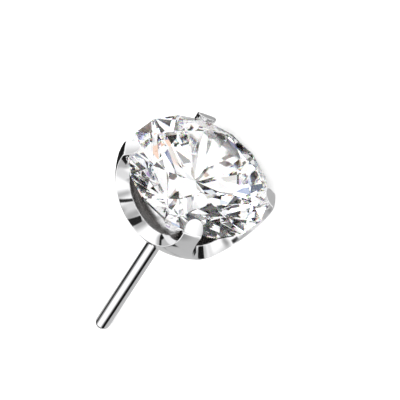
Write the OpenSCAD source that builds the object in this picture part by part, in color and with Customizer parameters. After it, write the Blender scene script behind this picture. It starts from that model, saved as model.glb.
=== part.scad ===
// Push-in gem top for body jewellery: a round brilliant in a four-claw bowl with a welded pin.
// It lies on its side, as it comes to rest by itself, on the lip of a scallop and the tip of the pin.

/* [Stone] */
// Diameter of the stone over the corners of its girdle
stone_d = 5; // [4.8:0.05:5.05]
// Width of the table over its corners, as a share of the stone's diameter
table_ratio = 0.56; // [0.5:0.01:0.6]
// Angle of the crown's kite facets to the girdle plane
crown_angle = 34; // [32:0.5:36]
// Angle of the pavilion's main facets to the girdle plane
pavilion_angle = 40.8; // [40:0.2:41.4]
// Height of the upright band round the girdle
girdle_h = 0.08; // [0.05:0.01:0.12]
// Where the star facets end, as a share of the way from the table to the girdle
star_share = 0.5; // [0.45:0.01:0.55]
// Where the lower girdle facets end, as a share of the way from the girdle to the culet
lower_half_share = 0.78; // [0.72:0.01:0.84]
// Width of the small flat at the culet
culet_d = 0.06; // [0.04:0.01:0.1]

/* [Bowl] */
// Outer diameter of the bowl, a ball round the middle of the stone's girdle
bowl_d = 5.42; // [5.36:0.01:5.5]
// Thickness of the bowl's wall
wall = 0.47; // [0.4:0.01:0.5]
// Diameter of the flat foot that the pin is welded to
foot_d = 1.5; // [1:0.1:1.8]

/* [Scallops] */
// Half angle of the round scallops, seen from the bowl's centre
scallop_angle = 38.6; // [37.8:0.1:39.2]
// How far the scallops lean below level
scallop_lean = 2.3; // [2:0.1:3.5]

/* [Claws] */
// Half angle that each claw takes up round the stone
claw_angle = 7.2; // [6.4:0.1:7.6]
// Thickness of the claws over the crown
claw_t = 0.16; // [0.12:0.01:0.2]
// How far the claws reach in over the stone
claw_reach = 0.27; // [0.22:0.01:0.34]
// Radius of the bend at the top of each claw
claw_bend_r = 0.12; // [0.08:0.01:0.16]
// Clear space between the stone and the metal
seat_gap = 0.02; // [0.01:0.005:0.03]

/* [Pin] */
// Diameter of the pin, 24 gauge
pin_d = 0.5; // [0.4:0.05:0.6]
// Length of the pin below the bowl's foot
pin_len = 5.65; // [5:0.05:7]

/* [Hidden] */
$fn = 96;

CLAWS = 4;
MAINS = 8;
half_step = 180 / MAINS;

stone_r = stone_d / 2;
table_r = stone_r * table_ratio;
girdle_top = girdle_h / 2;
table_z = girdle_top + (stone_r - table_r) * tan(crown_angle);
culet_z = -girdle_top - (stone_r - culet_d / 2) * tan(pavilion_angle);

bowl_r = bowl_d / 2;
hollow_r = bowl_r - wall;
foot_z = -sqrt(bowl_r * bowl_r - foot_d * foot_d / 4);
pin_r = pin_d / 2;
tip_z = foot_z - pin_len;
beyond = 2 * bowl_d;

// The stud lies on the lowest point of a scallop's lip and on the round tip of the pin
tip_ball_z = tip_z + pin_r;
lip_r = bowl_r * cos(scallop_angle + scallop_lean);
lip_z = -bowl_r * sin(scallop_angle + scallop_lean);
lip_to_ball = lip_z - tip_ball_z;
rest_tilt = atan2(lip_r, lip_to_ball) - asin(pin_r / norm([lip_to_ball, lip_r]));
rest_roll = 180 + 180 / CLAWS;
back_x = tip_ball_z * cos(rest_tilt) - pin_r;
front_x = table_z * cos(rest_tilt) + table_r * sin(rest_tilt);
lift = [-(back_x + front_x) / 2, 0, pin_r - tip_ball_z * sin(rest_tilt)];

// A point of the stone at a radius, an azimuth and a height
function at(r, az, z) = [r * cos(az), r * sin(az), z];
// Heights of the kite and main facet planes at a radius, half a step from their middles
function crown_z(r) = girdle_top + (stone_r - r * cos(half_step)) * tan(crown_angle);
function pavilion_z(r) = -girdle_top - (stone_r - r * cos(half_step)) * tan(pavilion_angle);

star_in = table_r * cos(half_step);
star_r = star_in + star_share * (stone_r - star_in);
lower_r = stone_r * (1 - lower_half_share);

// Three corners of each facet that belongs to half a step, from azimuth 0 to half_step
star_corner = at(star_r, half_step, crown_z(star_r));
lower_corner = at(lower_r, half_step, pavilion_z(lower_r));
star = [at(table_r, 0, table_z), star_corner, at(table_r, 2 * half_step, table_z)];
upper = [at(stone_r, 0, girdle_top), at(stone_r, half_step, girdle_top), star_corner];
lower = [at(stone_r, 0, -girdle_top), lower_corner, at(stone_r, half_step, -girdle_top)];

// Outward unit normal of a facet through three corners
function facet_normal(c) = let(n = cross(c[1] - c[0], c[2] - c[0])) n / norm(n);

// A facet's plane as [outward normal, distance from the stone's middle], turned to its place
function turned(n, az) = [n.x * cos(az) - n.y * sin(az), n.x * sin(az) + n.y * cos(az), n.z];
function plane_through(c) = let(n = facet_normal(c)) [n, n * c[0]];
function sloped(angle, up) =
    [[sin(angle), 0, up * cos(angle)], stone_r * sin(angle) + girdle_top * cos(angle)];
function beside(plane, side) = [[plane[0].x, side * plane[0].y, plane[0].z], plane[1]];

single_facets = [sloped(crown_angle, 1), sloped(pavilion_angle, -1), plane_through(star)];
twin_facets = [
    [[cos(half_step / 2), sin(half_step / 2), 0], stone_r * cos(half_step / 2)],
    plane_through(upper),
    plane_through(lower)
];
sector_facets = concat(single_facets, [for (side = [-1, 1], f = twin_facets) beside(f, side)]);
facets = [for (f = sector_facets, i = [0 : MAINS - 1]) [turned(f[0], 2 * half_step * i), f[1]]];

// Grinds the facets one after the other, as the cutter does
module ground(count) {
    if (count == 0) {
        translate([-stone_r, -stone_r, culet_z]) cube([stone_d, stone_d, table_z - culet_z]);
    } else {
        normal = facets[count - 1][0];
        difference() {
            ground(count - 1);
            rotate([0, acos(normal.z), atan2(normal.y, normal.x)])
                translate([-beyond, -beyond, facets[count - 1][1]])
                    cube([2 * beyond, 2 * beyond, beyond]);
        }
    }
}

// Section of the space that the stone needs, with clear space all round it
module seat_section() {
    seat_r = stone_r + seat_gap;
    top = girdle_top + seat_gap / cos(crown_angle) - seat_gap * tan(crown_angle);
    bottom = -girdle_top - seat_gap / cos(pavilion_angle) + seat_gap * tan(pavilion_angle);
    polygon([
        [0, bottom - seat_r * tan(pavilion_angle)],
        [seat_r, bottom],
        [seat_r, top],
        [0, top + seat_r * tan(crown_angle)]
    ]);
}

// Section of the round wall with its hook over the stone, before the scallops are cut
module wall_section() {
    // The top of the hook runs parallel to the crown, at this height where the radius is zero
    hook_top = girdle_top + (seat_gap + claw_t) / cos(crown_angle) + stone_r * tan(crown_angle);
    bend_r = bowl_r - claw_bend_r;
    bend_z = hook_top - bend_r * tan(crown_angle) - claw_bend_r / cos(crown_angle);
    bend_top = [bend_r + claw_bend_r * sin(crown_angle), bend_z + claw_bend_r * cos(crown_angle)];
    difference() {
        union() {
            intersection() {
                circle(bowl_r);
                translate([0, foot_z]) square([bowl_d, -foot_z]);
            }
            square([bowl_r, bend_z]);
            polygon([[0, bend_z], [bend_r, bend_z], bend_top, [0, hook_top]]);
            intersection() {
                translate([bend_r, bend_z]) circle(claw_bend_r);
                translate([bend_r, bend_z]) square(claw_bend_r);
            }
        }
        intersection() {
            circle(hollow_r);
            translate([0, -bowl_d]) square(bowl_d);
        }
        seat_section();
    }
}

// A round scallop whose sides all point at the bowl's centre
module scallop() {
    rotate([0, 90 + scallop_lean, 0])
        cylinder(r1 = 0, r2 = bowl_d * tan(scallop_angle), h = bowl_d);
}

// The gap between two claws, above the middle of the scallop
module claw_gap() {
    half_gap = 180 / CLAWS - claw_angle;
    linear_extrude(bowl_d) polygon([
        [0, 0],
        bowl_d * [cos(half_gap), -sin(half_gap)],
        [1.5 * bowl_d, 0],
        bowl_d * [cos(half_gap), sin(half_gap)]
    ]);
}

// Trims the inner end of a claw to a round tip, seen from above
module claw_tip_trim() {
    tip_r = stone_r * tan(claw_angle);
    tip_x = stone_r - claw_reach + tip_r;
    linear_extrude(bowl_d) difference() {
        translate([0, -stone_r / 2]) square([tip_x, stone_r]);
        translate([tip_x, 0]) circle(tip_r);
    }
}

module bowl_and_claws() {
    difference() {
        rotate_extrude() wall_section();
        for (i = [0 : CLAWS - 1]) {
            rotate(360 / CLAWS * (i + 0.5)) scallop();
            rotate(360 / CLAWS * (i + 0.5)) claw_gap();
            rotate(360 / CLAWS * i) claw_tip_trim();
        }
    }
}

module pin() {
    translate([0, 0, tip_ball_z]) {
        sphere(pin_r);
        cylinder(r = pin_r, h = foot_z + wall / 2 - tip_ball_z);
    }
}

// Lays the stud down from its upright frame, where +Z points out of the table
module laid_down() {
    translate(lift) rotate([0, 90 - rest_tilt, 0]) rotate(rest_roll) children();
}

module setting() {
    color("silver") laid_down() {
        bowl_and_claws();
        pin();
    }
}

module gem() {
    color("white") laid_down() ground(len(facets));
}

setting();
gem();
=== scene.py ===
# %% [markdown]
# # A threadless gem top, lying on a white studio table
# The object is the small decorative end of a piercing: a round faceted stone, held by four claws
# that grow out of a scalloped steel bowl, with a thin pin behind it that is pushed into a post.
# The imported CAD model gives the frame. This script makes the looks round it: a setting with
# softly rounded edges, a stone that bends and splits light, and a bright table to lie on.

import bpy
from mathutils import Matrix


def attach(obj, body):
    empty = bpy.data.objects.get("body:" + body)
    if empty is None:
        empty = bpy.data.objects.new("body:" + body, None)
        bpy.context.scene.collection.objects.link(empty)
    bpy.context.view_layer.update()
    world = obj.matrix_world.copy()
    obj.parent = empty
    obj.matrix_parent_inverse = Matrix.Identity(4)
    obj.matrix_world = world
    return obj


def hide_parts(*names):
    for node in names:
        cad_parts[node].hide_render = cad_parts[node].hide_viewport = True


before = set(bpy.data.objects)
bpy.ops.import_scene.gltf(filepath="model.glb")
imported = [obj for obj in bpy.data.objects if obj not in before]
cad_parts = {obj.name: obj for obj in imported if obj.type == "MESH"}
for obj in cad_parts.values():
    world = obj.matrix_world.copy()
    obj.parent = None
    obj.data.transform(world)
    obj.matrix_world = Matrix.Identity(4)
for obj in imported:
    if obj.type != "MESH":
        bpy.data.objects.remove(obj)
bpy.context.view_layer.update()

# %% [markdown]
# ## The sizes of the stone
# A stone setter thinks from the stone outwards, so the stone comes first and the metal follows it.
# All sizes are in millimetres, in an upright frame: the stone's girdle lies in the XY plane, the
# table looks up along +Z and the pin points down. They could be measured on the CAD solids, but
# the few values of the CAD source say more, and a piece made from them takes the place of its
# solid exactly.

# %% Sizes of the stone
import math

STONE_R = 2.5
TABLE_SHARE = 0.56
TABLE_R = STONE_R * TABLE_SHARE
HALF_GIRDLE = 0.04
CROWN, PAVILION = math.radians(34), math.radians(40.8)
TABLE_Z = HALF_GIRDLE + (STONE_R - TABLE_R) * math.tan(CROWN)
print("the stone's table lies", round(TABLE_Z, 3), "mm above the middle of its girdle")

# %% [markdown]
# ## The sizes of the metal
# The bowl is part of a ball round the middle of the girdle, with a small flat foot for the pin and
# four round scallops ground out of its wall. A cup with straight sides would be plainer, but only
# on a ball is each scallop's rim a true circle, as it looks on the real piece. The pin has the one
# thickness that fits a post.

# %% Sizes of the metal
BOWL_R = 2.71
WALL = 0.47
HOLLOW_R = BOWL_R - WALL
FOOT_R = 0.75
PIN_R = 0.25
PIN_LENGTH = 5.65
SCALLOP, LEAN = math.radians(38.6), math.radians(2.3)
foot_z = -math.sqrt(BOWL_R**2 - FOOT_R**2)
ball_z = foot_z - PIN_LENGTH + PIN_R
print("metal: foot at", round(foot_z, 3), "mm, ball of the pin's tip at", round(ball_z, 3), "mm")

# %% [markdown]
# ## How the stud lies
# Nobody wears it here, so it lies as it would by itself: on the lip of one scallop and on the
# round tip of its pin. It could be turned by eye, but then it would float or sink a little. The
# tilt follows from those two contacts, as a line that touches two circles does, and the same turn
# and lift are used for every piece and for the camera.

# %% Resting place
from mathutils import Matrix, Vector

MM = 0.001
SCALLOP_DOWN = math.radians(225)
lip_r = BOWL_R * math.cos(SCALLOP + LEAN)
lip_drop = -BOWL_R * math.sin(SCALLOP + LEAN) - ball_z
tilt = math.atan2(lip_r, lip_drop) - math.asin(PIN_R / math.hypot(lip_drop, lip_r))
back_x = ball_z * math.cos(tilt) - PIN_R
front_x = TABLE_Z * math.cos(tilt) + TABLE_R * math.sin(tilt)
lift = Vector((-(back_x + front_x) / 2, 0, PIN_R - ball_z * math.sin(tilt)))
laid = Matrix.Rotation(math.pi / 2 - tilt, 4, "Y") @ Matrix.Rotation(SCALLOP_DOWN, 4, "Z")
lay_down = Matrix.Translation(lift * MM) @ laid @ Matrix.Scale(MM, 4)
print("the pin rises", round(math.degrees(tilt), 2), "degrees towards the head")

# %% [markdown]
# ## Where the camera looks from
# The photograph looks at the stone from 45.5 degrees off its axis, with the picture turned so that
# the pin points down to the left. The directions could be given in the room, but they are given in
# the stone's own frame and laid down with the stud, so the angle to the object is the
# photograph's, however the stud comes to rest.

# %% Directions of the picture
VIEW_ANGLE, VIEW_ROLL = math.radians(45.5), math.radians(33.3)
CLAW_AT = math.radians(19.3)
PIXELS_PER_MM = 30.63
PICTURE = 400
GIRDLE_AT = (198.1, 176.9)
out = Vector((math.sin(VIEW_ANGLE), 0, math.cos(VIEW_ANGLE)))
side = Vector((0, 1, 0))
rise = out.cross(side)
right = side * math.cos(VIEW_ROLL) + rise * math.sin(VIEW_ROLL)
up = -side * math.sin(VIEW_ROLL) + rise * math.cos(VIEW_ROLL)
aim_right = right * (PICTURE / 2 - GIRDLE_AT[0]) / PIXELS_PER_MM
aim_down = up * (PICTURE / 2 - GIRDLE_AT[1]) / PIXELS_PER_MM
aim = aim_right - aim_down
to_claws = Matrix.Rotation(-CLAW_AT, 4, "Z")
axes = [laid.to_3x3() @ to_claws.to_3x3() @ v for v in (right, up, out)]
print("camera is", round(math.degrees(math.asin(axes[2].z)), 1), "degrees above the table")

# %% [markdown]
# ## The camera
# A catalogue picture of jewellery is taken from far away, so that nearer claws don't look bigger.
# An orthographic camera would do the same, but a very long lens is closer to what a photographer
# does, and it gives the same flat, undistorted look. Its distance follows from the picture's width.

# %% Camera
import bpy

SCENE = bpy.context.scene
LENS, SENSOR = 1600, 36
frame_width = PICTURE / PIXELS_PER_MM * MM
distance = frame_width / 2 / (SENSOR / 2 / LENS)
cam_data = bpy.data.cameras.new("camera")
cam_data.lens = LENS
cam_data.clip_start, cam_data.clip_end = 0.005, 5
camera = bpy.data.objects.new("camera", cam_data)
SCENE.collection.objects.link(camera)
SCENE.camera = camera
place = lay_down @ to_claws @ aim + axes[2] * distance
camera.matrix_world = Matrix.Translation(place) @ Matrix(axes).transposed().to_4x4()
print("camera is", round(distance, 3), "m away and sees", round(frame_width / MM, 2), "mm")

# %% [markdown]
# ## The setting's outline, seen from the middle of the bowl
# On the real piece the bowl is turned on a lathe, four round scallops are ground out of it and the
# claws are pushed over the stone. Booleans in Blender could cut it the same way, but they leave
# long thin triangles that show in a mirror polish. Every ray from the bowl's middle crosses the
# wall just once, so the whole wall can be drawn as two distances along each ray: one to the
# outer face and one to the inner face. That gives an even mesh with clean reflections.

# %% Outer face: the ball, the upright claw, its bend and its hook, or the flat foot
SEAT_GAP = 0.02
CLAW_T = 0.16
BEND_R = 0.12
hook_top = HALF_GIRDLE + (SEAT_GAP + CLAW_T) / math.cos(CROWN) + STONE_R * math.tan(CROWN)
bend_in = BOWL_R - BEND_R
bend_z = hook_top - bend_in * math.tan(CROWN) - BEND_R / math.cos(CROWN)
bend_low = math.atan2(bend_z, BOWL_R)
bend_high = math.atan2(bend_z + BEND_R * math.cos(CROWN), bend_in + BEND_R * math.sin(CROWN))


def outer_face(rise_angle):
    """Distance to the outer face along a ray that rises by an angle."""
    s, c = math.sin(rise_angle), math.cos(rise_angle)
    if BOWL_R * s < foot_z:
        return foot_z / s
    if rise_angle <= 0:
        return BOWL_R
    if rise_angle < bend_low:
        return BOWL_R / c
    if rise_angle > bend_high:
        return hook_top / (s + c * math.tan(CROWN))
    along = c * bend_in + s * bend_z
    return along + math.sqrt(along**2 - bend_in**2 - bend_z**2 + BEND_R**2)


print("the claws bend over at", round(bend_z, 3), "mm above the girdle's middle")

# %% Inner face: the ball-shaped hollow, or the seat that leaves the stone a little clear space
SEAT_R = STONE_R + SEAT_GAP
seat_low = -HALF_GIRDLE - SEAT_GAP / math.cos(PAVILION) + SEAT_GAP * math.tan(PAVILION)
seat_top = HALF_GIRDLE + SEAT_GAP / math.cos(CROWN) - SEAT_GAP * math.tan(CROWN)


def inner_face(rise_angle):
    """Distance to the inner face along a ray that rises by an angle."""
    s, c = math.sin(rise_angle), math.cos(rise_angle)
    walls = [SEAT_R / c, (seat_top + SEAT_R * math.tan(CROWN)) / (s + c * math.tan(CROWN))]
    if rise_angle > 0:
        return min(w for w in walls if w > 0)
    cone = (seat_low - SEAT_R * math.tan(PAVILION)) / (s - c * math.tan(PAVILION))
    return max(HOLLOW_R, min(walls[0], cone))


for degrees in (-60, -20, 0, 2, 6):
    inner_mm = round(inner_face(math.radians(degrees)), 3)
    outer_mm = round(outer_face(math.radians(degrees)), 3)
    print("at", degrees, "degrees the wall runs from", inner_mm, "to", outer_mm, "mm")

# %% [markdown]
# ## Rays that fan out from a scallop
# On the real piece one round grinding wheel leaves each scallop's rim. The mesh could be a plain
# grid of the globe, but its rows would meet that rim at all angles and leave it jagged. Rows that
# leave the rim at a right angle give it one width of rounded edge all the way. Each row is the arc
# that leads straight away from the scallop's axis, and it ends on the claw's middle line or on the
# round foot of the bowl.

# %% Directions along a row
HALF_GAP = math.pi / 4
foot_rise = math.asin(foot_z / BOWL_R)


def toward(azimuth, rise_angle):
    """Unit direction at an azimuth and a rise."""
    flat = math.cos(rise_angle)
    return Vector((flat * math.cos(azimuth), flat * math.sin(azimuth), math.sin(rise_angle)))


scallop_axis = toward(HALF_GAP, -LEAN)
rim_down = Vector(
    (-math.sin(LEAN) * math.cos(HALF_GAP), -math.sin(LEAN) * math.sin(HALF_GAP), -math.cos(LEAN))
)
rim_side = Vector((math.sin(HALF_GAP), -math.cos(HALF_GAP), 0))


def away(turn, angle):
    """Direction at an angle from the scallop's axis; turn 0 goes down, 90 degrees to the claw."""
    rim = rim_down * math.cos(turn) + rim_side * math.sin(turn)
    return scallop_axis * math.cos(angle) + rim * math.sin(angle)


print("a scallop's rim passes", round(math.degrees(SCALLOP + LEAN), 1), "degrees below level")

# %% Where a row ends
def row_end(turn):
    """Angle at which a row meets the claw's middle line or the foot's rim, whichever is first."""
    rim = rim_down * math.cos(turn) + rim_side * math.sin(turn)
    middle = math.atan2(scallop_axis.y, -rim.y)
    a, b = scallop_axis.z, rim.z
    reach = math.sin(foot_rise) / math.hypot(a, b)
    if abs(reach) >= 1:
        return middle
    return min(middle, math.atan2(b, a) + math.acos(reach))


print("the first row is", round(math.degrees(row_end(0.0) - SCALLOP), 1), "degrees long")

# %% [markdown]
# ## One row of the mesh
# A row runs over the outer face to the rim, round the rim's rounded edge, across the cut wall,
# round the second edge and back over the inner face. A Bevel modifier could round the edges, but
# a row already knows each corner and its two neighbours, so it can draw the short curve itself.
# Real polishing rounds edges in the same way, and the thin bright lines that they catch are what
# makes metal look like metal.

# %% Rounded edges
EDGE_R = 0.028
EDGE_STEPS = 4


def rounded(before, corner, after):
    """Points of the short curve that replaces a corner between two neighbours."""
    start = corner + (before - corner).normalized() * EDGE_R
    end = corner + (after - corner).normalized() * EDGE_R
    points = []
    for i in range(EDGE_STEPS + 1):
        t = i / EDGE_STEPS
        points.append(start * (1 - t) ** 2 + corner * 2 * t * (1 - t) + end * t**2)
    return points


def closed_row(outer, inner):
    """Joins an outer and an inner line, both from the far end to the rim, into one row."""
    rim_out = rounded(outer[-2], outer[-1], inner[-1])
    rim_in = rounded(outer[-1], inner[-1], inner[-2])
    return outer[:-1] + rim_out + rim_in + inner[-2::-1]


print("each edge is rounded over", EDGE_R, "mm")

# %% Steps along a row
ROW_STEPS = 14
LAST_STRETCH = 1.5 * EDGE_R
LEVEL_FROM, LEVEL_OVER = 65, 25


def shares_along(length):
    """Even shares of a line, with a last stretch a little longer than the rounded edge."""
    near = 1 - LAST_STRETCH / length
    return [near * i / ROW_STEPS for i in range(ROW_STEPS + 1)] + [1]


def spread(turn):
    """Directions from a row's far end to the rim; on the claw the rows turn level."""
    end = row_end(turn)
    rim = away(turn, SCALLOP)
    level = min(1, max(0, (math.degrees(turn) - LEVEL_FROM) / LEVEL_OVER))
    directions = []
    for share in shares_along(BOWL_R * (end - SCALLOP)):
        azimuth = math.atan2(rim.y, rim.x) * share
        flat = math.hypot(rim.x, rim.y)
        across = Vector((flat * math.cos(azimuth), flat * math.sin(azimuth), rim.z))
        fanned = away(turn, end + (SCALLOP - end) * share)
        directions.append(fanned.lerp(across, level).normalized())
    return directions


print("each row has", 2 * (ROW_STEPS + 1) + 2 * (EDGE_STEPS + 1), "points")

# %% [markdown]
# ## The claw's nose
# Above the girdle the claw bends in over the crown and ends in a round nose, which is what holds
# the stone. Its sides there stand upright, so rows that fan out from the scallop no longer fit.
# The rows fan out from a point near the middle of the hook instead, in plan, and both faces share
# the same outline.

# %% Rows of the nose
CLAW_HALF = math.radians(7.2)
CLAW_REACH = 0.27
NOSE_R = STONE_R * math.tan(CLAW_HALF)
NOSE_X = STONE_R - CLAW_REACH + NOSE_R
NOSE_ROWS = 12
INNER_SWING = math.radians(12)


def top_at(x, y):
    """Point of the hook's top over a place in plan."""
    return Vector((x, y, hook_top - math.hypot(x, y) * math.tan(CROWN)))


def under_at(x, y):
    """Point of the hook's underside, which follows the crown."""
    return Vector((x, y, seat_top + (SEAT_R - math.hypot(x, y)) * math.tan(CROWN)))


def nose_line(place_on, start_x, angle):
    """A line over one face, from the middle of the hook to the nose's outline."""
    start = Vector((start_x, 0))
    rim = Vector((NOSE_X + NOSE_R * math.cos(angle), NOSE_R * math.sin(angle)))
    return [place_on(*start.lerp(rim, s)) for s in shares_along((rim - start).length)]


def nose_row(share, x_out, x_in):
    """One row of the nose; share 0 is its side and 1 its tip."""
    angle_out = math.pi / 2 * (1 + share)
    angle_in = angle_out + INNER_SWING * (1 - share) ** 2
    return closed_row(nose_line(top_at, x_out, angle_out), nose_line(under_at, x_in, angle_in))


print("the nose reaches", CLAW_REACH, "mm in over the stone")

# %% [markdown]
# ## Half a quarter of the setting
# The setting repeats four times round its axis, and each quarter is its own mirror image. All of it
# could be drawn at once, but only an eighth has to be, and the copies then match exactly. The rows
# go from the bottom of the scallop up to the nose, and they are closest where the claw bends.

# %% Turns of the arm's rows, from the scallop's lip to the hook
FOOT_STEPS, ARM_STEPS = 8, 34
CLAW_STEPS, BEND_STEPS = 3, 7
SEAT_EDGE = 0.014
foot_azimuths = [HALF_GAP * (1 - k / FOOT_STEPS) for k in range(FOOT_STEPS + 1)]


def turn_to(direction):
    """The turn of the row that passes through a direction."""
    return math.atan2(direction @ rim_side, direction @ rim_down)


def between(start, end, steps):
    """Even steps from start to end, without the start itself."""
    return [start + (end - start) * i / steps for i in range(1, steps + 1)]


def rim_turn(rise_angle):
    """The turn at which the scallop's rim rises by an angle."""
    above_axis = math.sin(rise_angle) + math.cos(SCALLOP) * math.sin(LEAN)
    return math.acos(-above_axis / (math.sin(SCALLOP) * math.cos(LEAN)))


def rise_of(point):
    """The angle at which a point lies above level, seen from the bowl's middle."""
    return math.atan2(point.z, math.hypot(point.x, point.y))


last_out = rise_of(top_at(NOSE_X, NOSE_R))
last_in = rise_of(under_at(SEAT_R - SEAT_EDGE, 0))
foot_turns = [turn_to(toward(a, foot_rise)) for a in foot_azimuths]
arm_turns = foot_turns + between(foot_turns[-1], rim_turn(0), ARM_STEPS)
rises_out = between(0, bend_low, CLAW_STEPS) + between(bend_low, bend_high, BEND_STEPS)
rises_out += between(bend_high, last_out, CLAW_STEPS)
turns_out = arm_turns + [rim_turn(e) for e in rises_out]
turns_in = arm_turns + [rim_turn(e) for e in between(0, last_in, len(rises_out))]
print("arm:", len(turns_out), "rows,", len(rises_out), "of them above the girdle's middle")

# %% Rows of the arm and of the nose
def on_face(face, directions):
    """Points of a face along some directions."""
    return [d * face(rise_of(d)) for d in directions]


rows = []
for turn_out, turn_in in zip(turns_out, turns_in):
    outer, inner = on_face(outer_face, spread(turn_out)), on_face(inner_face, spread(turn_in))
    rows.append(closed_row(outer, inner))
middle_out, middle_in = rows[-1][0].x, rows[-1][-1].x
for j in range(1, NOSE_ROWS + 1):
    rows.append(nose_row(j / NOSE_ROWS, middle_out, middle_in))
print("arm and nose:", len(rows), "rows")
print("the middle of the hook lies at", round(middle_out, 3), "and", round(middle_in, 3), "mm")

# %% [markdown]
# ## Foot, pin and the hollow's bottom
# The pin is a piece of wire with a round tip, and a small fillet of weld joins it to the flat foot.
# A cylinder could be pushed into the bowl, but the join would show as a hard line. The rows that
# end on the foot's rim carry on as rings over the foot, round the fillet, down the pin and round
# its tip, so the metal is one skin. Rings inside close the bottom of the hollow in the same way.

# %% Rings of the foot, the pin and the hollow's bottom
WELD_R = 0.07
FOOT_INNER = (FOOT_R - 0.02, 0.55)
WELD_RINGS, PIN_RINGS, TIP_RINGS, HOLLOW_RINGS = 4, 6, 12, 5


def rings_below():
    """Radius and height of each ring from the foot's rim to the pole of the pin's tip."""
    rings = [(r, foot_z) for r in (*FOOT_INNER, PIN_R + WELD_R)]
    for i in range(1, WELD_RINGS + 1):
        a = math.pi / 2 * i / WELD_RINGS
        rings.append((PIN_R + WELD_R * (1 - math.sin(a)), foot_z - WELD_R * (1 - math.cos(a))))
    for i in range(1, PIN_RINGS + 1):
        rings.append((PIN_R, foot_z + (ball_z - foot_z) * i / PIN_RINGS))
    for i in range(1, TIP_RINGS):
        a = math.pi / 2 / TIP_RINGS * i
        rings.append((PIN_R * math.cos(a), ball_z - PIN_R * math.sin(a)))
    return rings


def rings_inside():
    """The same for the inside of the hollow, up to its pole."""
    rings = []
    for i in range(1, HOLLOW_RINGS):
        a = foot_rise - (math.pi / 2 + foot_rise) * i / HOLLOW_RINGS
        rings.append((HOLLOW_R * math.cos(a), HOLLOW_R * math.sin(a)))
    return rings


def strip(rings, pole_z):
    """Points of one row of rings for each direction of the foot's rim, ending at the pole."""
    lines = []
    for a in foot_azimuths:
        line = [Vector((r * math.cos(a), r * math.sin(a), z)) for r, z in rings]
        lines.append(line + [Vector((0, 0, pole_z))])
    return lines


below = strip(rings_below(), ball_z - PIN_R)
inside = strip(rings_inside(), -HOLLOW_R)
print("pin and foot:", len(below[0]), "rings; hollow's bottom:", len(inside[0]), "rings")

# %% [markdown]
# ## Painted shade in the hollow
# Inside the hollow, just within the scallops' rims, shade is painted into the steel's colour and
# its gloss is made satin. A picture could paint this on, but one number for each point of the
# mesh is enough: it is above zero where shade is painted, and it falls with the distance from
# the rim.

# %% Mask of the painted shade
SHADE_WITHIN, SHADE_FADE = 76, 8
SHADE_DEPTH = 0.3
BELOW_SEAT = -0.02
RIM_BAND = 0.018


def painted_shade_at(point):
    """Above 0 where shade is painted inside the hollow, -1 on every other face."""
    beside_rim = Vector((point.x, abs(point.y), point.z)).angle(scallop_axis)
    inner_side = point.length < HOLLOW_R + SHADE_DEPTH and point.z < BELOW_SEAT
    if inner_side and beside_rim > SCALLOP + RIM_BAND:
        return (SHADE_WITHIN - math.degrees(beside_rim)) / SHADE_FADE
    return -1


# How far from a scallop's axis the painted shade reaches.
print("raw steel ends", SHADE_WITHIN, "degrees from a scallop's axis")

# %% [markdown]
# ## The quarter as a mesh
# The points become faces between neighbouring rows. A lofted curve could do that too, but a bmesh
# keeps every point where the rows put it. The eighth is copied, the copy is mirrored, and its faces
# are turned round, because a mirror turns them inside out. Then the seam between both is merged.

# %% The eighth and its mirror image
import bmesh

SEAM = 1e-5


def add_grid(bm, grid):
    """Adds the faces between neighbouring lines of points."""
    verts = [[bm.verts.new(p) for p in line] for line in grid]
    for a, b in zip(verts, verts[1:]):
        for i in range(len(a) - 1):
            bm.faces.new((a[i], a[i + 1], b[i + 1], b[i]))


def quarter_mesh():
    """An eighth of the setting with its mirror image, and the mask of the painted shade."""
    bm = bmesh.new()
    add_grid(bm, rows)
    add_grid(bm, [[rows[k][0], *below[k]] for k in range(FOOT_STEPS + 1)][::-1])
    add_grid(bm, [[rows[k][-1], *inside[k]] for k in range(FOOT_STEPS + 1)])
    half = bmesh.ops.duplicate(bm, geom=bm.verts[:] + bm.edges[:] + bm.faces[:])["geom"]
    for v in [g for g in half if isinstance(g, bmesh.types.BMVert)]:
        v.co.y = -v.co.y
    bmesh.ops.reverse_faces(bm, faces=[g for g in half if isinstance(g, bmesh.types.BMFace)])
    bmesh.ops.remove_doubles(bm, verts=bm.verts, dist=SEAM)
    mesh = bpy.data.meshes.new("setting_quarter")
    bm.to_mesh(mesh)
    bm.free()
    # One number for each point, saying where shade is painted into the steel's colour.
    shaded = mesh.attributes.new("hollow", "FLOAT", "POINT")
    for v in mesh.vertices:
        shaded.data[v.index].value = painted_shade_at(v.co)
    return mesh


quarter = quarter_mesh()
print("a quarter of the setting has", len(quarter.polygons), "faces")

# %% [markdown]
# ## Helpers for node trees
# Geometry and materials are both made with nodes here. They could be wired one by one, but a few
# short helpers let each later cell say only what is special about its piece. A finished piece is
# a plain mesh: its object stays at the origin, and it takes the place of its CAD solid.

# %% Helpers that make trees and nodes
def new_tree(name, sizes):
    """A Geometry Nodes tree with one geometry input and named sizes."""
    tree = bpy.data.node_groups.new(name, "GeometryNodeTree")
    tree.interface.new_socket("Geometry", in_out="INPUT", socket_type="NodeSocketGeometry")
    for label, value in sizes.items():
        kind = "NodeSocketInt" if isinstance(value, int) else "NodeSocketFloat"
        socket = tree.interface.new_socket(label, in_out="INPUT", socket_type=kind)
        socket.default_value = value
    tree.interface.new_socket("Geometry", in_out="OUTPUT", socket_type="NodeSocketGeometry")
    return tree, tree.nodes.new("NodeGroupInput"), tree.nodes.new("NodeGroupOutput")


def node(tree, kind, inputs=None, **settings):
    """Adds a node; each input is a value, or a socket to link from."""
    made = tree.nodes.new(kind)
    for key, value in settings.items():
        setattr(made, key, value)
    for key, value in (inputs or {}).items():
        if isinstance(value, bpy.types.NodeSocket):
            tree.links.new(value, made.inputs[key])
        else:
            made.inputs[key].default_value = value
    return made


def maths(tree, operation, *values, **settings):
    """The result of one step of arithmetic."""
    kind = "ShaderNodeMath"
    return node(tree, kind, dict(enumerate(values)), operation=operation, **settings).outputs[0]


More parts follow.
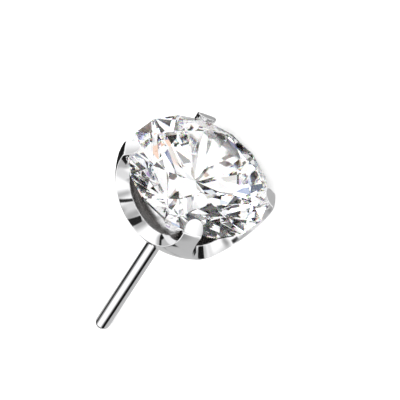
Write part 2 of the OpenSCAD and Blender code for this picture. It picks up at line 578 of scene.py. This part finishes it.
def end_tree(tree, geometry, material, result):
    """Ends a tree in real faces that carry a material."""
    real = node(tree, "GeometryNodeRealizeInstances", {0: geometry})
    wanted = {"Geometry": real.outputs[0], "Material": material}
    painted = node(tree, "GeometryNodeSetMaterial", wanted)
    tree.links.new(painted.outputs[0], result.inputs[0])


print("helpers for trees are ready")

# %% Helpers that turn a tree into a finished piece
def grow(name, mesh, tree, sizes):
    """Evaluates a tree on a mesh and returns the plain mesh that it makes."""
    seed = bpy.data.objects.new(name + "_seed", mesh)
    SCENE.collection.objects.link(seed)
    modifier = seed.modifiers.new("grow", "NODES")
    modifier.node_group = tree
    for item in tree.interface.items_tree:
        if item.in_out == "INPUT" and item.name in sizes:
            modifier[item.identifier] = sizes[item.name]
    evaluated = seed.evaluated_get(bpy.context.evaluated_depsgraph_get())
    made = bpy.data.meshes.new_from_object(evaluated)
    made.name = name
    bpy.data.objects.remove(seed)
    return made


def finished_piece(name, mesh, cad_node):
    """Lays a mesh down where the CAD solid lies and lets it take that solid's place."""
    mesh.transform(lay_down)
    piece = bpy.data.objects.new(name, mesh)
    SCENE.collection.objects.link(piece)
    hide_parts(cad_node)
    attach(piece, "root")
    return piece


print("helpers for pieces are ready")

# %% [markdown]
# ## Four quarters make the setting
# On the bench a dividing head turns the bowl a quarter at a time under the same wheel. Copies could
# be placed by hand or by an Array modifier, but Geometry Nodes do it in one tree: they turn the
# quarter round the axis, once for each claw, weld the seams and give the metal its material.

# %% Tree that repeats the quarter
steel = bpy.data.materials.new("polished_steel")
steel.use_nodes = True
sizes = {"Claws": 4, "Weld distance": 0.0001}
tree, given, result = new_tree("repeat round the axis", sizes)
points = node(tree, "GeometryNodePoints", {"Count": given.outputs["Claws"]})
number = node(tree, "GeometryNodeInputIndex")
share = maths(tree, "DIVIDE", number.outputs[0], given.outputs["Claws"])
angle = maths(tree, "MULTIPLY", share, 2 * math.pi)
turned = node(tree, "ShaderNodeCombineXYZ", {"Z": angle})
wanted = {
    "Points": points.outputs[0],
    "Instance": given.outputs["Geometry"],
    "Rotation": turned.outputs[0],
}
copies = node(tree, "GeometryNodeInstanceOnPoints", wanted)
real = node(tree, "GeometryNodeRealizeInstances", {0: copies.outputs[0]})
wanted = {"Geometry": real.outputs[0], "Distance": given.outputs["Weld distance"]}
welded = node(tree, "GeometryNodeMergeByDistance", wanted)
smooth = node(tree, "GeometryNodeSetShadeSmooth", {"Geometry": welded.outputs[0]})
end_tree(tree, smooth.outputs[0], steel, result)
print("the tree has", len(tree.nodes), "nodes")

# %% The setting, closed now, with its normals recalculated
setting_mesh = grow("setting_steel", quarter, tree, sizes)
bm = bmesh.new()
bm.from_mesh(setting_mesh)
bmesh.ops.recalc_face_normals(bm, faces=bm.faces)
bm.to_mesh(setting_mesh)
bm.free()
setting = finished_piece("setting_steel", setting_mesh, "setting")
print("the setting has", len(setting.data.polygons), "faces")

# %% [markdown]
# ## The stone
# A round brilliant: an eight-sided table, eight star facets, eight kites, sixteen upper girdle
# facets, a thin faceted girdle, and the pavilion's sixteen lower facets and eight mains. A cutter
# grinds them one after the other, and so could Booleans. But their corners lie on six rings, and
# the tightest skin over those rings is the cut stone, so the tree draws the rings and wraps them.

# %% Rings of facet corners: how many, turned by half a facet or not, radius and height
STEP = math.radians(22.5)
STAR_SHARE, LOWER_SHARE = 0.5, 0.22
CULET_R = 0.03


def crown_z(r):
    """Height of the kite facets over a radius, half a facet from their middles."""
    return HALF_GIRDLE + (STONE_R - r * math.cos(STEP)) * math.tan(CROWN)


def pavilion_z(r):
    """The same on the main facets below the girdle."""
    return -HALF_GIRDLE - (STONE_R - r * math.cos(STEP)) * math.tan(PAVILION)


star_in = TABLE_R * math.cos(STEP)
STAR_R = star_in + STAR_SHARE * (STONE_R - star_in)
LOWER_R = STONE_R * LOWER_SHARE
culet_z = -HALF_GIRDLE - (STONE_R - CULET_R) * math.tan(PAVILION)
rings = {
    "table": (8, 0, TABLE_R, TABLE_Z),
    "star": (8, 1, STAR_R, crown_z(STAR_R)),
    "girdle top": (16, 0, STONE_R, HALF_GIRDLE),
    "girdle bottom": (16, 0, STONE_R, -HALF_GIRDLE),
    "lower": (8, 1, LOWER_R, pavilion_z(LOWER_R)),
    "culet": (8, 1, CULET_R / math.cos(STEP), culet_z),
}
print("the stone's point lies", round(-culet_z, 3), "mm below the middle of its girdle")

# %% Tree that wraps the rings
stone = bpy.data.materials.new("clear_stone")
stone.use_nodes = True
sizes = {}
for label, (_, _, radius, height) in rings.items():
    sizes[label + " radius"] = radius
    sizes[label + " height"] = height
tree, given, result = new_tree("brilliant cut", sizes)
joined = node(tree, "GeometryNodeJoinGeometry")
for label, (corners, half, _, _) in rings.items():
    wanted = {"Vertices": corners, "Radius": given.outputs[label + " radius"]}
    ring = node(tree, "GeometryNodeMeshCircle", wanted)
    raised = node(tree, "ShaderNodeCombineXYZ", {"Z": given.outputs[label + " height"]})
    wanted = {
        "Geometry": ring.outputs[0],
        "Translation": raised.outputs[0],
        "Rotation": (0, 0, half * STEP),
    }
    moved = node(tree, "GeometryNodeTransform", wanted)
    tree.links.new(moved.outputs[0], joined.inputs[0])
hull = node(tree, "GeometryNodeConvexHull", {"Geometry": joined.outputs[0]})
wanted = {"Geometry": hull.outputs[0], "Shade Smooth": False}
flat_facets = node(tree, "GeometryNodeSetShadeSmooth", wanted)
end_tree(tree, flat_facets.outputs[0], stone, result)
print("the tree wraps", len(rings), "rings")

# %% The cut stone
start = bpy.data.meshes.new("stone_start")
gem_mesh = grow("gem_stone", start, tree, sizes)
gem = finished_piece("gem_stone", gem_mesh, "gem")
print("the stone has", len(gem.data.polygons), "faces")

# %% [markdown]
# ## Helpers for finishes
# Real surfaces are never quite even, so each finish here takes its small changes from noise, which
# needs no picture and never repeats. These helpers keep the finishes below short.

# %% Helpers for noise, ranges and greys
def grey(tone):
    """A colour with three equal parts."""
    return (tone, tone, tone, 1)


def noise(tree, where, scale, detail, roughness=0.5):
    """An even noise between 0 and 1."""
    wanted = {"Vector": where, "Scale": scale, "Detail": detail, "Roughness": roughness}
    return node(tree, "ShaderNodeTexNoise", wanted).outputs["Fac"]


def ranged(tree, value, lowest, highest, low, high, **settings):
    """A value between two limits, spread out between two others."""
    limits = {"From Min": lowest, "From Max": highest, "To Min": low, "To Max": high}
    return node(tree, "ShaderNodeMapRange", {"Value": value, **limits}, **settings).outputs[0]


def bumped(tree, height, strength, depth):
    """The normal of a very low relief, with its depth in metres."""
    wanted = {"Height": height, "Strength": strength, "Distance": depth}
    return node(tree, "ShaderNodeBump", wanted).outputs[0]


print("helpers for finishes are ready")

# %% [markdown]
# ## Polished steel
# The setting is tumbled and buffed surgical steel: close to a mirror outside. In the hollow under
# the stone shade is painted into its colour and its gloss is satin, less so on the side next to
# the table. The buffing lines are far finer than the claws. They could be modelled, but they only
# show as a slight change in how sharp a reflection is, so they go into the roughness and a very
# low bump.

# %% Steel finish
BRIGHT_STEEL = ((0.79, 0.79, 0.80, 1), (0.83, 0.83, 0.835, 1))
# The next colour is painted shade for the hollow, and the roughness after it is added there too.
PAINTED_SHADE_STEEL = (0.07, 0.062, 0.058, 1)
SHADE_ROUGHNESS = 0.2
# Heights over which the painted shade fades out towards the table.
LOW_SIDE = (0.0015, 0.0021)
LOW_SIDE_FADE = -2.25
LINES_STRETCH = (1.0, 1.0, 9.0)
NOISE_MIDDLE = (0.3, 0.7)
BUFFED_ROUGHNESS = (0.03, 0.07)


def painted_shade_share(tree, where):
    """How much shade is painted: the mesh's own mask, less on the side next to the table."""
    height = node(tree, "ShaderNodeSeparateXYZ", {0: where}).outputs[2]
    low_side = ranged(tree, height, *LOW_SIDE, LOW_SIDE_FADE, 0.0)
    shaded = node(tree, "ShaderNodeAttribute", attribute_name="hollow").outputs["Fac"]
    return maths(tree, "ADD", shaded, low_side, use_clamp=True)


def finish_steel(material):
    """Buffed steel with faint lines, with painted shade and satin gloss where the mask says so."""
    tree = material.node_tree
    metal = tree.nodes["Principled BSDF"]
    metal.inputs["Metallic"].default_value = 1.0
    where = node(tree, "ShaderNodeTexCoord").outputs["Object"]
    cloud = noise(tree, where, scale=900.0, detail=3.0)
    tone = node(tree, "ShaderNodeValToRGB", {"Fac": cloud})
    for element, place_at, colour in zip(tone.color_ramp.elements, NOISE_MIDDLE, BRIGHT_STEEL):
        element.position = place_at
        element.color = colour
    shaded = painted_shade_share(tree, where)
    # Shade is painted into the base colour where the mask is above zero.
    colour = node(tree, "ShaderNodeMixRGB", {0: shaded, 1: tone.outputs["Color"], 2: PAINTED_SHADE_STEEL})
    tree.links.new(colour.outputs[0], metal.inputs["Base Color"])
    stretched = node(tree, "ShaderNodeMapping", {"Vector": where, "Scale": LINES_STRETCH})
    lines = noise(tree, stretched.outputs[0], scale=9000.0, detail=4.0, roughness=0.6)
    gloss = ranged(tree, lines, *NOISE_MIDDLE, *BUFFED_ROUGHNESS)
    satin = maths(tree, "MULTIPLY", shaded, SHADE_ROUGHNESS)
    tree.links.new(maths(tree, "ADD", gloss, satin), metal.inputs["Roughness"])
    relief = bumped(tree, lines, strength=0.06, depth=0.000004)
    tree.links.new(relief, metal.inputs["Normal"])


finish_steel(steel)
print("steel nodes:", len(steel.node_tree.nodes))

# %% [markdown]
# ## Clear stone
# The stone is colourless cubic zirconia. It bends light more than glass, and blue a little more
# than red, which is where its coloured sparks come from. One glass shader would stay colourless,
# because it has one bending power. So where light first goes in, three clear shaders share it, one
# for each primary colour. Inside the stone one shader carries it on, because a path that changed
# colour would go dark. The gloss on the outer facets is set weaker than a bare stone's, because
# the photograph shows little of it.

# %% Stone finish
STONE_IOR = 2.165
SURFACE_IOR = 1.3
FIRE = {
    "red": (-0.012, (1.5, 0.75, 0.75, 1)),
    "green": (0.0, (0.75, 1.5, 0.75, 1)),
    "blue": (0.018, (0.75, 0.75, 1.5, 1)),
}


def mixed(tree, share, first, second):
    """Two shaders mixed, with a share of the second."""
    return node(tree, "ShaderNodeMixShader", {0: share, 1: first, 2: second}).outputs[0]


def split_colours(tree, ripple):
    """Three clear shaders in equal parts, each for one colour with its own bending power."""
    parts = []
    for shift, colour in FIRE.values():
        bent = {"Color": colour, "Roughness": 0.0, "IOR": STONE_IOR + shift, "Normal": ripple}
        parts.append(node(tree, "ShaderNodeBsdfRefraction", bent).outputs[0])
    half_each = mixed(tree, 1 / 2, parts[0], parts[1])
    return mixed(tree, 1 / 3, half_each, parts[2])


def finish_stone(material):
    """Split colours and gloss for the camera's own rays, plain clear glass for all others."""
    tree = material.node_tree
    tree.nodes.remove(tree.nodes["Principled BSDF"])
    where = node(tree, "ShaderNodeTexCoord").outputs["Object"]
    polish = noise(tree, where, scale=2500.0, detail=2.0)
    ripple = bumped(tree, polish, strength=0.02, depth=0.000002)
    entry = split_colours(tree, ripple)
    shine = node(tree, "ShaderNodeBsdfGlossy", {"Roughness": 0.0, "Normal": ripple}).outputs[0]
    share = node(tree, "ShaderNodeFresnel", {"IOR": SURFACE_IOR, "Normal": ripple}).outputs[0]
    outside = mixed(tree, share, entry, shine)
    clear = {"Color": grey(1), "Roughness": 0.0, "IOR": STONE_IOR, "Normal": ripple}
    inside = node(tree, "ShaderNodeBsdfGlass", clear).outputs[0]
    first = node(tree, "ShaderNodeLightPath").outputs["Is Camera Ray"]
    look = mixed(tree, first, inside, outside)
    tree.links.new(look, tree.nodes["Material Output"].inputs["Surface"])


finish_stone(stone)
print("stone nodes:", len(stone.node_tree.nodes))

# %% [markdown]
# ## The table
# The stud lies on plain white paper in the studio. A lamp could cast a hard shadow to ground it,
# but in a white tent light comes from all sides, so only a faint dark place is left under it. The
# paper has a fine grain. The metal and the stone don't mirror it, because in the photograph they
# show the tent alone.

# %% Floor
FLOOR_SIZE = 3.0
PAPER_TONES = (0.88, 0.92)
PAPER_ROUGHNESS, PAPER_GLOSS = 0.9, 0.1


def paper_material():
    """White matt paper with a fine grain."""
    paper = bpy.data.materials.new("white_paper")
    paper.use_nodes = True
    tree = paper.node_tree
    where = node(tree, "ShaderNodeTexCoord").outputs["Object"]
    grain = noise(tree, where, scale=4000.0, detail=3.0)
    tone = node(tree, "ShaderNodeValToRGB", {"Fac": grain})
    for element, paper_tone in zip(tone.color_ramp.elements, PAPER_TONES):
        element.color = grey(paper_tone)
    matt = tree.nodes["Principled BSDF"]
    tree.links.new(tone.outputs["Color"], matt.inputs["Base Color"])
    matt.inputs["Roughness"].default_value = PAPER_ROUGHNESS
    matt.inputs["Specular IOR Level"].default_value = PAPER_GLOSS
    return paper


def sheet(name, corners, material):
    """A flat four-cornered piece of the studio."""
    mesh = bpy.data.meshes.new(name)
    mesh.from_pydata(corners, [], [(0, 1, 2, 3)])
    mesh.materials.append(material)
    piece = bpy.data.objects.new(name, mesh)
    SCENE.collection.objects.link(piece)
    return piece


half = FLOOR_SIZE / 2
corners = [(-half, -half, 0), (half, -half, 0), (half, half, 0), (-half, half, 0)]
floor = sheet("floor", corners, paper_material())
for kind in ("glossy", "transmission", "shadow"):
    setattr(floor, "visible_" + kind, False)
print("floor is", FLOOR_SIZE, "m wide")

# %% [markdown]
# ## The cards that the metal mirrors
# Jewellery is photographed in a white tent with a few black and grey cards round it. Without the
# cards, polished metal turns into a flat white shape. They could be planes that hang round the
# stud, but the tent is the world here and each card is a soft-edged patch of it, placed by the
# direction in which the metal sees it. Where cards overlap, the later one is in front.

# %% Cards: azimuth, elevation, width, height, tilt and softness in degrees, then the tone
CARDS = {
    "light grey, top": (-16, 56, 34, 20, 0, 4, 0.85),
    "soft grey beside the strip": (-74, 48, 12, 26, 30, 6, 0.58),
    "soft grey, top": (-2, 55, 14, 26, 0, 6, 0.5),
    "soft grey, far side": (34, 47, 20, 26, 0, 8, 0.52),
    "grey, left": (-88, 20, 22, 13, 0, 4, 0.58),
    "grey, far left": (-134, 12, 28, 30, 0, 4, 0.55),
    "pale, left": (-112, 20, 24, 16, 0, 4, 0.9),
    "grey behind the pin": (-172, -26, 82, 66, 0, 3, 0.58),
    "grey below": (-115, -70, 60, 46, 0, 3, 0.55),
    "grey low, right": (-6, -76, 70, 20, 0, 2, 0.55),
    "soft grey, low in front": (-48, -52, 16, 14, 0, 7, 0.66),
    "soft grey, right": (-37, 6, 10, 24, 0, 5, 0.45),
    "grey at the back": (100, 2, 36, 34, 0, 4, 0.6),
    "black to the right": (21, 56, 14, 20, 0, 1, 0.02),
    "slanted dark strip": (-52.5, 51, 6.5, 34, 43, 1.5, 0.03),
    "pale low in front": (-47, -37, 24, 12, 0, 5, 0.98),
    "pale strip in front": (-62, -18, 12, 40, 0, 5, 0.85),
    "soft grey, level in front": (-56, 1, 14, 10, 0, 5, 0.42),
    "black low in front": (-50, -66, 14, 22, 0, 1, 0.01),
    "dark by the far arm": (-69, 12, 6, 12, 40, 1, 0.04),
    "thin line at the back": (93, 11.3, 16, 4.5, 0, 0.5, 0.01),
    "grey behind the stud": (146, -50, 26, 28, 0, 3, 0.6),
    "black behind, left": (141, 0, 20, 40, -26, 1, 0.01),
    "black behind, low left": (121, -34, 36, 38, 0, 1, 0.02),
    "dark line at the horizon": (173, -2, 50, 22, 0, 1.5, 0.03),
    "soft grey by the far arm": (-77, 13, 8, 10, 0, 4, 0.45),
    "grey overhead": (-60, 84, 30, 40, 0, 5, 0.4),
    "soft grey by the pin, right": (-148, 11, 14, 14, 0, 6, 0.35),
    "soft grey by the pin, left": (150, 16, 14, 14, 0, 6, 0.4),
    "pale by the far arm": (54, 8, 16, 12, 0, 6, 0.72),
    "black under the far side": (120, -71, 46, 22, 0, 1, 0.01),
    "soft grey under the far claw": (103, -61, 11, 9, 0, 1.5, 0.42),
}
print("cards for the metal:", len(CARDS))

# %% [markdown]
# ## The cards that the stone sees
# Light that leaves the stone has been turned round inside it, so it sees the tent from everywhere
# at once. A photographer moves the cards until stone and metal both look good. Here the stone has
# cards of its own, which is simpler: dark ones give the dark facets, a few coloured ones stand
# for things in the room, and one bright lamp overhead keeps the others white.

# %% Cards for the stone, in the same order of values; a tone may be a colour
STONE_CARDS = {
    "lamp overhead": (-65, 68, 64, 38, 0, 4, 2.2),
    "black above, right": (52, 46, 42, 22, 0, 1, 0.0),
    "black further right": (40, 30, 26, 16, 30, 1, 0.0),
    "grey, right": (56, 22, 20, 12, 0, 1, 0.2),
    "black at the top": (38, 62, 40, 14, 0, 1, 0.0),
    "brown above, left": (-90, 54, 24, 16, 0, 1, (0.12, 0.07, 0.045)),
    "blue-grey above, left": (-60, 43, 14, 14, 0, 1, (0.16, 0.2, 0.28)),
    "dark above": (3, 44, 18, 16, 20, 1, 0.0),
    "dark in front, high": (-50, 16, 18, 14, 0, 1, 0.0),
    "grey in front": (-40, 6, 12, 6, 0, 1, 0.25),
    "dark in front": (-58, -6, 20, 16, 30, 1, 0.0),
    "dark to the left": (-67, 6, 14, 18, 0, 1, 0.0),
    "dark, far left": (-90, -2, 20, 22, 0, 1, 0.0),
    "grey ahead": (-14, 26, 10, 8, 20, 1, 0.5),
    "dark low": (4, 4, 18, 12, 0, 1, 0.0),
    "dark, lower": (8, -5, 16, 8, 0, 1, 0.0),
    "grey low": (22, -10, 16, 12, 30, 1, 0.06),
    "dark near the ground": (26, -64, 26, 18, 0, 1, 0.0),
    "dark low, right": (80, -34, 22, 20, 0, 1, 0.0),
    "blue": (-24, 34, 8, 6, 20, 1, (0.5, 0.6, 0.85)),
    "peach": (-34, 42, 8, 7, 40, 1, (0.98, 0.68, 0.52)),
    "violet": (30, -24, 14, 12, 40, 1, (0.6, 0.42, 0.75)),
    "black behind, low": (134, -37, 18, 16, 0, 1, 0.0),
    "black behind, at the horizon": (146, 5, 16, 14, 0, 1, 0.0),
    "dark low ahead": (-6, -26, 14, 12, 0, 1, 0.0),
    "dark lower right": (26, -46, 16, 12, 0, 1, 0.02),
    "dark right, level": (40, -2, 14, 10, 0, 1, 0.0),
}
print("cards for the stone:", len(STONE_CARDS))

# %% [markdown]
# ## How a card is painted
# A card is a rectangle as seen from the stud. A texture of the whole sky could hold them all, but a
# small group of nodes needs no picture: it turns each direction into the card's own frame, asks
# how far it lies from the card's middle, across and along, and softens the edge.

# %% Group that paints one card
def card_group():
    """A node group: how much of a direction falls on a card."""
    tree = bpy.data.node_groups.new("card", "ShaderNodeTree")
    for label in ("Direction", "Turn"):
        tree.interface.new_socket(label, in_out="INPUT", socket_type="NodeSocketVector")
    for label in ("Half width", "Half height", "Softness"):
        tree.interface.new_socket(label, in_out="INPUT", socket_type="NodeSocketFloat")
    tree.interface.new_socket("Share", in_out="OUTPUT", socket_type="NodeSocketFloat")
    given = node(tree, "NodeGroupInput").outputs
    wanted = {"Vector": given["Direction"], "Rotation": given["Turn"]}
    euler = {"rotation_type": "EULER_XYZ", "invert": True}
    seen = node(tree, "ShaderNodeVectorRotate", wanted, **euler)
    part = node(tree, "ShaderNodeSeparateXYZ", {0: seen.outputs[0]}).outputs
    across = maths(tree, "ARCTAN2", part[1], part[0])
    along = maths(tree, "ARCSINE", part[2])
    harder = maths(tree, "MULTIPLY", given["Softness"], -1.0)
    shares = []
    for angle, limit in ((across, "Half width"), (along, "Half height")):
        size = maths(tree, "ABSOLUTE", angle)
        within = maths(tree, "SUBTRACT", given[limit], size)
        soft = {"interpolation_type": "SMOOTHSTEP"}
        shares.append(ranged(tree, within, harder, given["Softness"], 0.0, 1.0, **soft))
    both = maths(tree, "MULTIPLY", *shares)
    tree.links.new(both, node(tree, "NodeGroupOutput").inputs[0])
    return tree


card_nodes = card_group()
print("one card takes", len(card_nodes.nodes), "nodes")

# %% The tent's colour in each direction, with its cards
def hang_cards(tree, direction, tent_tone, cards):
    """Paints the cards over an even tent, one after the other."""
    plain = node(tree, "ShaderNodeRGB")
    plain.outputs[0].default_value = grey(tent_tone)
    colour = plain.outputs[0]
    for azimuth, elevation, width, height, lean, softness, tone in cards.values():
        card = node(tree, "ShaderNodeGroup", node_tree=card_nodes)
        tree.links.new(direction, card.inputs["Direction"])
        card.inputs["Turn"].default_value = [math.radians(v) for v in (lean, -elevation, azimuth)]
        card.inputs["Half width"].default_value = math.radians(width / 2)
        card.inputs["Half height"].default_value = math.radians(height / 2)
        card.inputs["Softness"].default_value = math.radians(softness)
        paint = (*tone, 1) if isinstance(tone, tuple) else grey(tone)
        over = node(tree, "ShaderNodeMixRGB", {0: card.outputs[0], 1: colour, 2: paint})
        colour = over.outputs[0]
    return node(tree, "ShaderNodeBackground", {"Color": colour}).outputs[0]


print("up to", max(len(CARDS), len(STONE_CARDS)), "cards are painted over one tent")

# %% [markdown]
# ## The tent
# The real tent is white cloth, lit from outside, a little brighter than white in the picture. One
# world colour could do, but the kind of ray tells who looks: the metal's mirror sees the first set
# of cards, light that leaves the stone sees the second, and everything else sees plain bright
# air, which lights the paper evenly.

# %% The tent and its three tones
METAL_TENT, STONE_TENT, AIR = 1.3, 1.12, 2.0


def make_tent():
    """The world, which shows each kind of ray its own tent."""
    world = bpy.data.worlds.new("tent")
    world.use_nodes = True
    tree = world.node_tree
    direction = node(tree, "ShaderNodeTexCoord").outputs["Generated"]
    on_metal = hang_cards(tree, direction, METAL_TENT, CARDS)
    in_stone = hang_cards(tree, direction, STONE_TENT, STONE_CARDS)
    air = node(tree, "ShaderNodeBackground", {"Color": grey(AIR)}).outputs[0]
    ray = node(tree, "ShaderNodeLightPath").outputs
    mirrored = mixed(tree, ray["Is Glossy Ray"], air, on_metal)
    seen = mixed(tree, ray["Is Transmission Ray"], mirrored, in_stone)
    tree.links.new(seen, tree.nodes["World Output"].inputs["Surface"])
    return world


SCENE.world = make_tent()
print("nodes in the tent:", len(SCENE.world.node_tree.nodes))

# %% [markdown]
# ## Four small cards close to the stud
# A photographer also holds small cards close to the piece, to darken one edge and not another.
# The world can't do that, because two parts of the metal that face the same way see the same part
# of it. So these four are real sheets, which only a mirror reflection meets. Three are black; the
# pale one glows an even grey and is painted shade, a stand-in for the table's shade under the pin.

# %% Near cards: corners in millimetres, then the tone
NEAR_CARDS = {
    # This sheet glows grey as painted shade: it stands in for the shaded table under the pin.
    "glowing_shade_sheet": ([(-7, -1, 0), (1.5, -1, 0), (1.5, 3.4, 0), (-7, 3.4, 0)], 0.6),
    "rail_by_pin": (
        [(-7, -1.5, -0.5), (-0.6, -1.5, 1.3), (-0.6, -1.5, 2.45), (-7, -1.5, 0.65)],
        0.01,
    ),
    "strip_by_claw": (
        [(1.4, 3.2, 3.0), (3.4, 3.2, 3.0), (3.4, 3.2, 4.65), (1.4, 3.2, 4.65)],
        0.01,
    ),
    "chip_above_pin": (
        [(-0.1, 0.5, 3.5), (1.0, -0.8, 3.5), (1.0, -0.8, 4.5), (-0.1, 0.5, 4.5)],
        0.01,
    ),
}


def glowing(name, tone):
    """A material of one even tone, whatever light falls on it."""
    material = bpy.data.materials.new(name)
    material.use_nodes = True
    tree = material.node_tree
    tree.nodes.remove(tree.nodes["Principled BSDF"])
    glow = node(tree, "ShaderNodeEmission", {"Color": grey(tone)})
    tree.links.new(glow.outputs[0], tree.nodes["Material Output"].inputs["Surface"])
    return material


for name, (corners, tone) in NEAR_CARDS.items():
    card = sheet(name, [Vector(c) * MM for c in corners], glowing(name, tone))
    for kind in ("camera", "diffuse", "shadow", "transmission"):
        setattr(card, "visible_" + kind, False)
print("cards close to the stud:", len(NEAR_CARDS))

# %% [markdown]
# ## Light inside the stone
# A cut stone keeps light in by many reflections before it lets it out. A renderer that stops early
# turns whole facets black, so the number of bounces is raised. The plain view transform keeps
# white paper white, as in a catalogue, where a film-like one would grey it.

# %% Bounces and the view transform
BOUNCES = 24
SCENE.cycles.max_bounces = BOUNCES
SCENE.cycles.glossy_bounces = BOUNCES
SCENE.cycles.transmission_bounces = BOUNCES
SCENE.view_settings.view_transform = "Standard"
print("light may bounce", BOUNCES, "times")
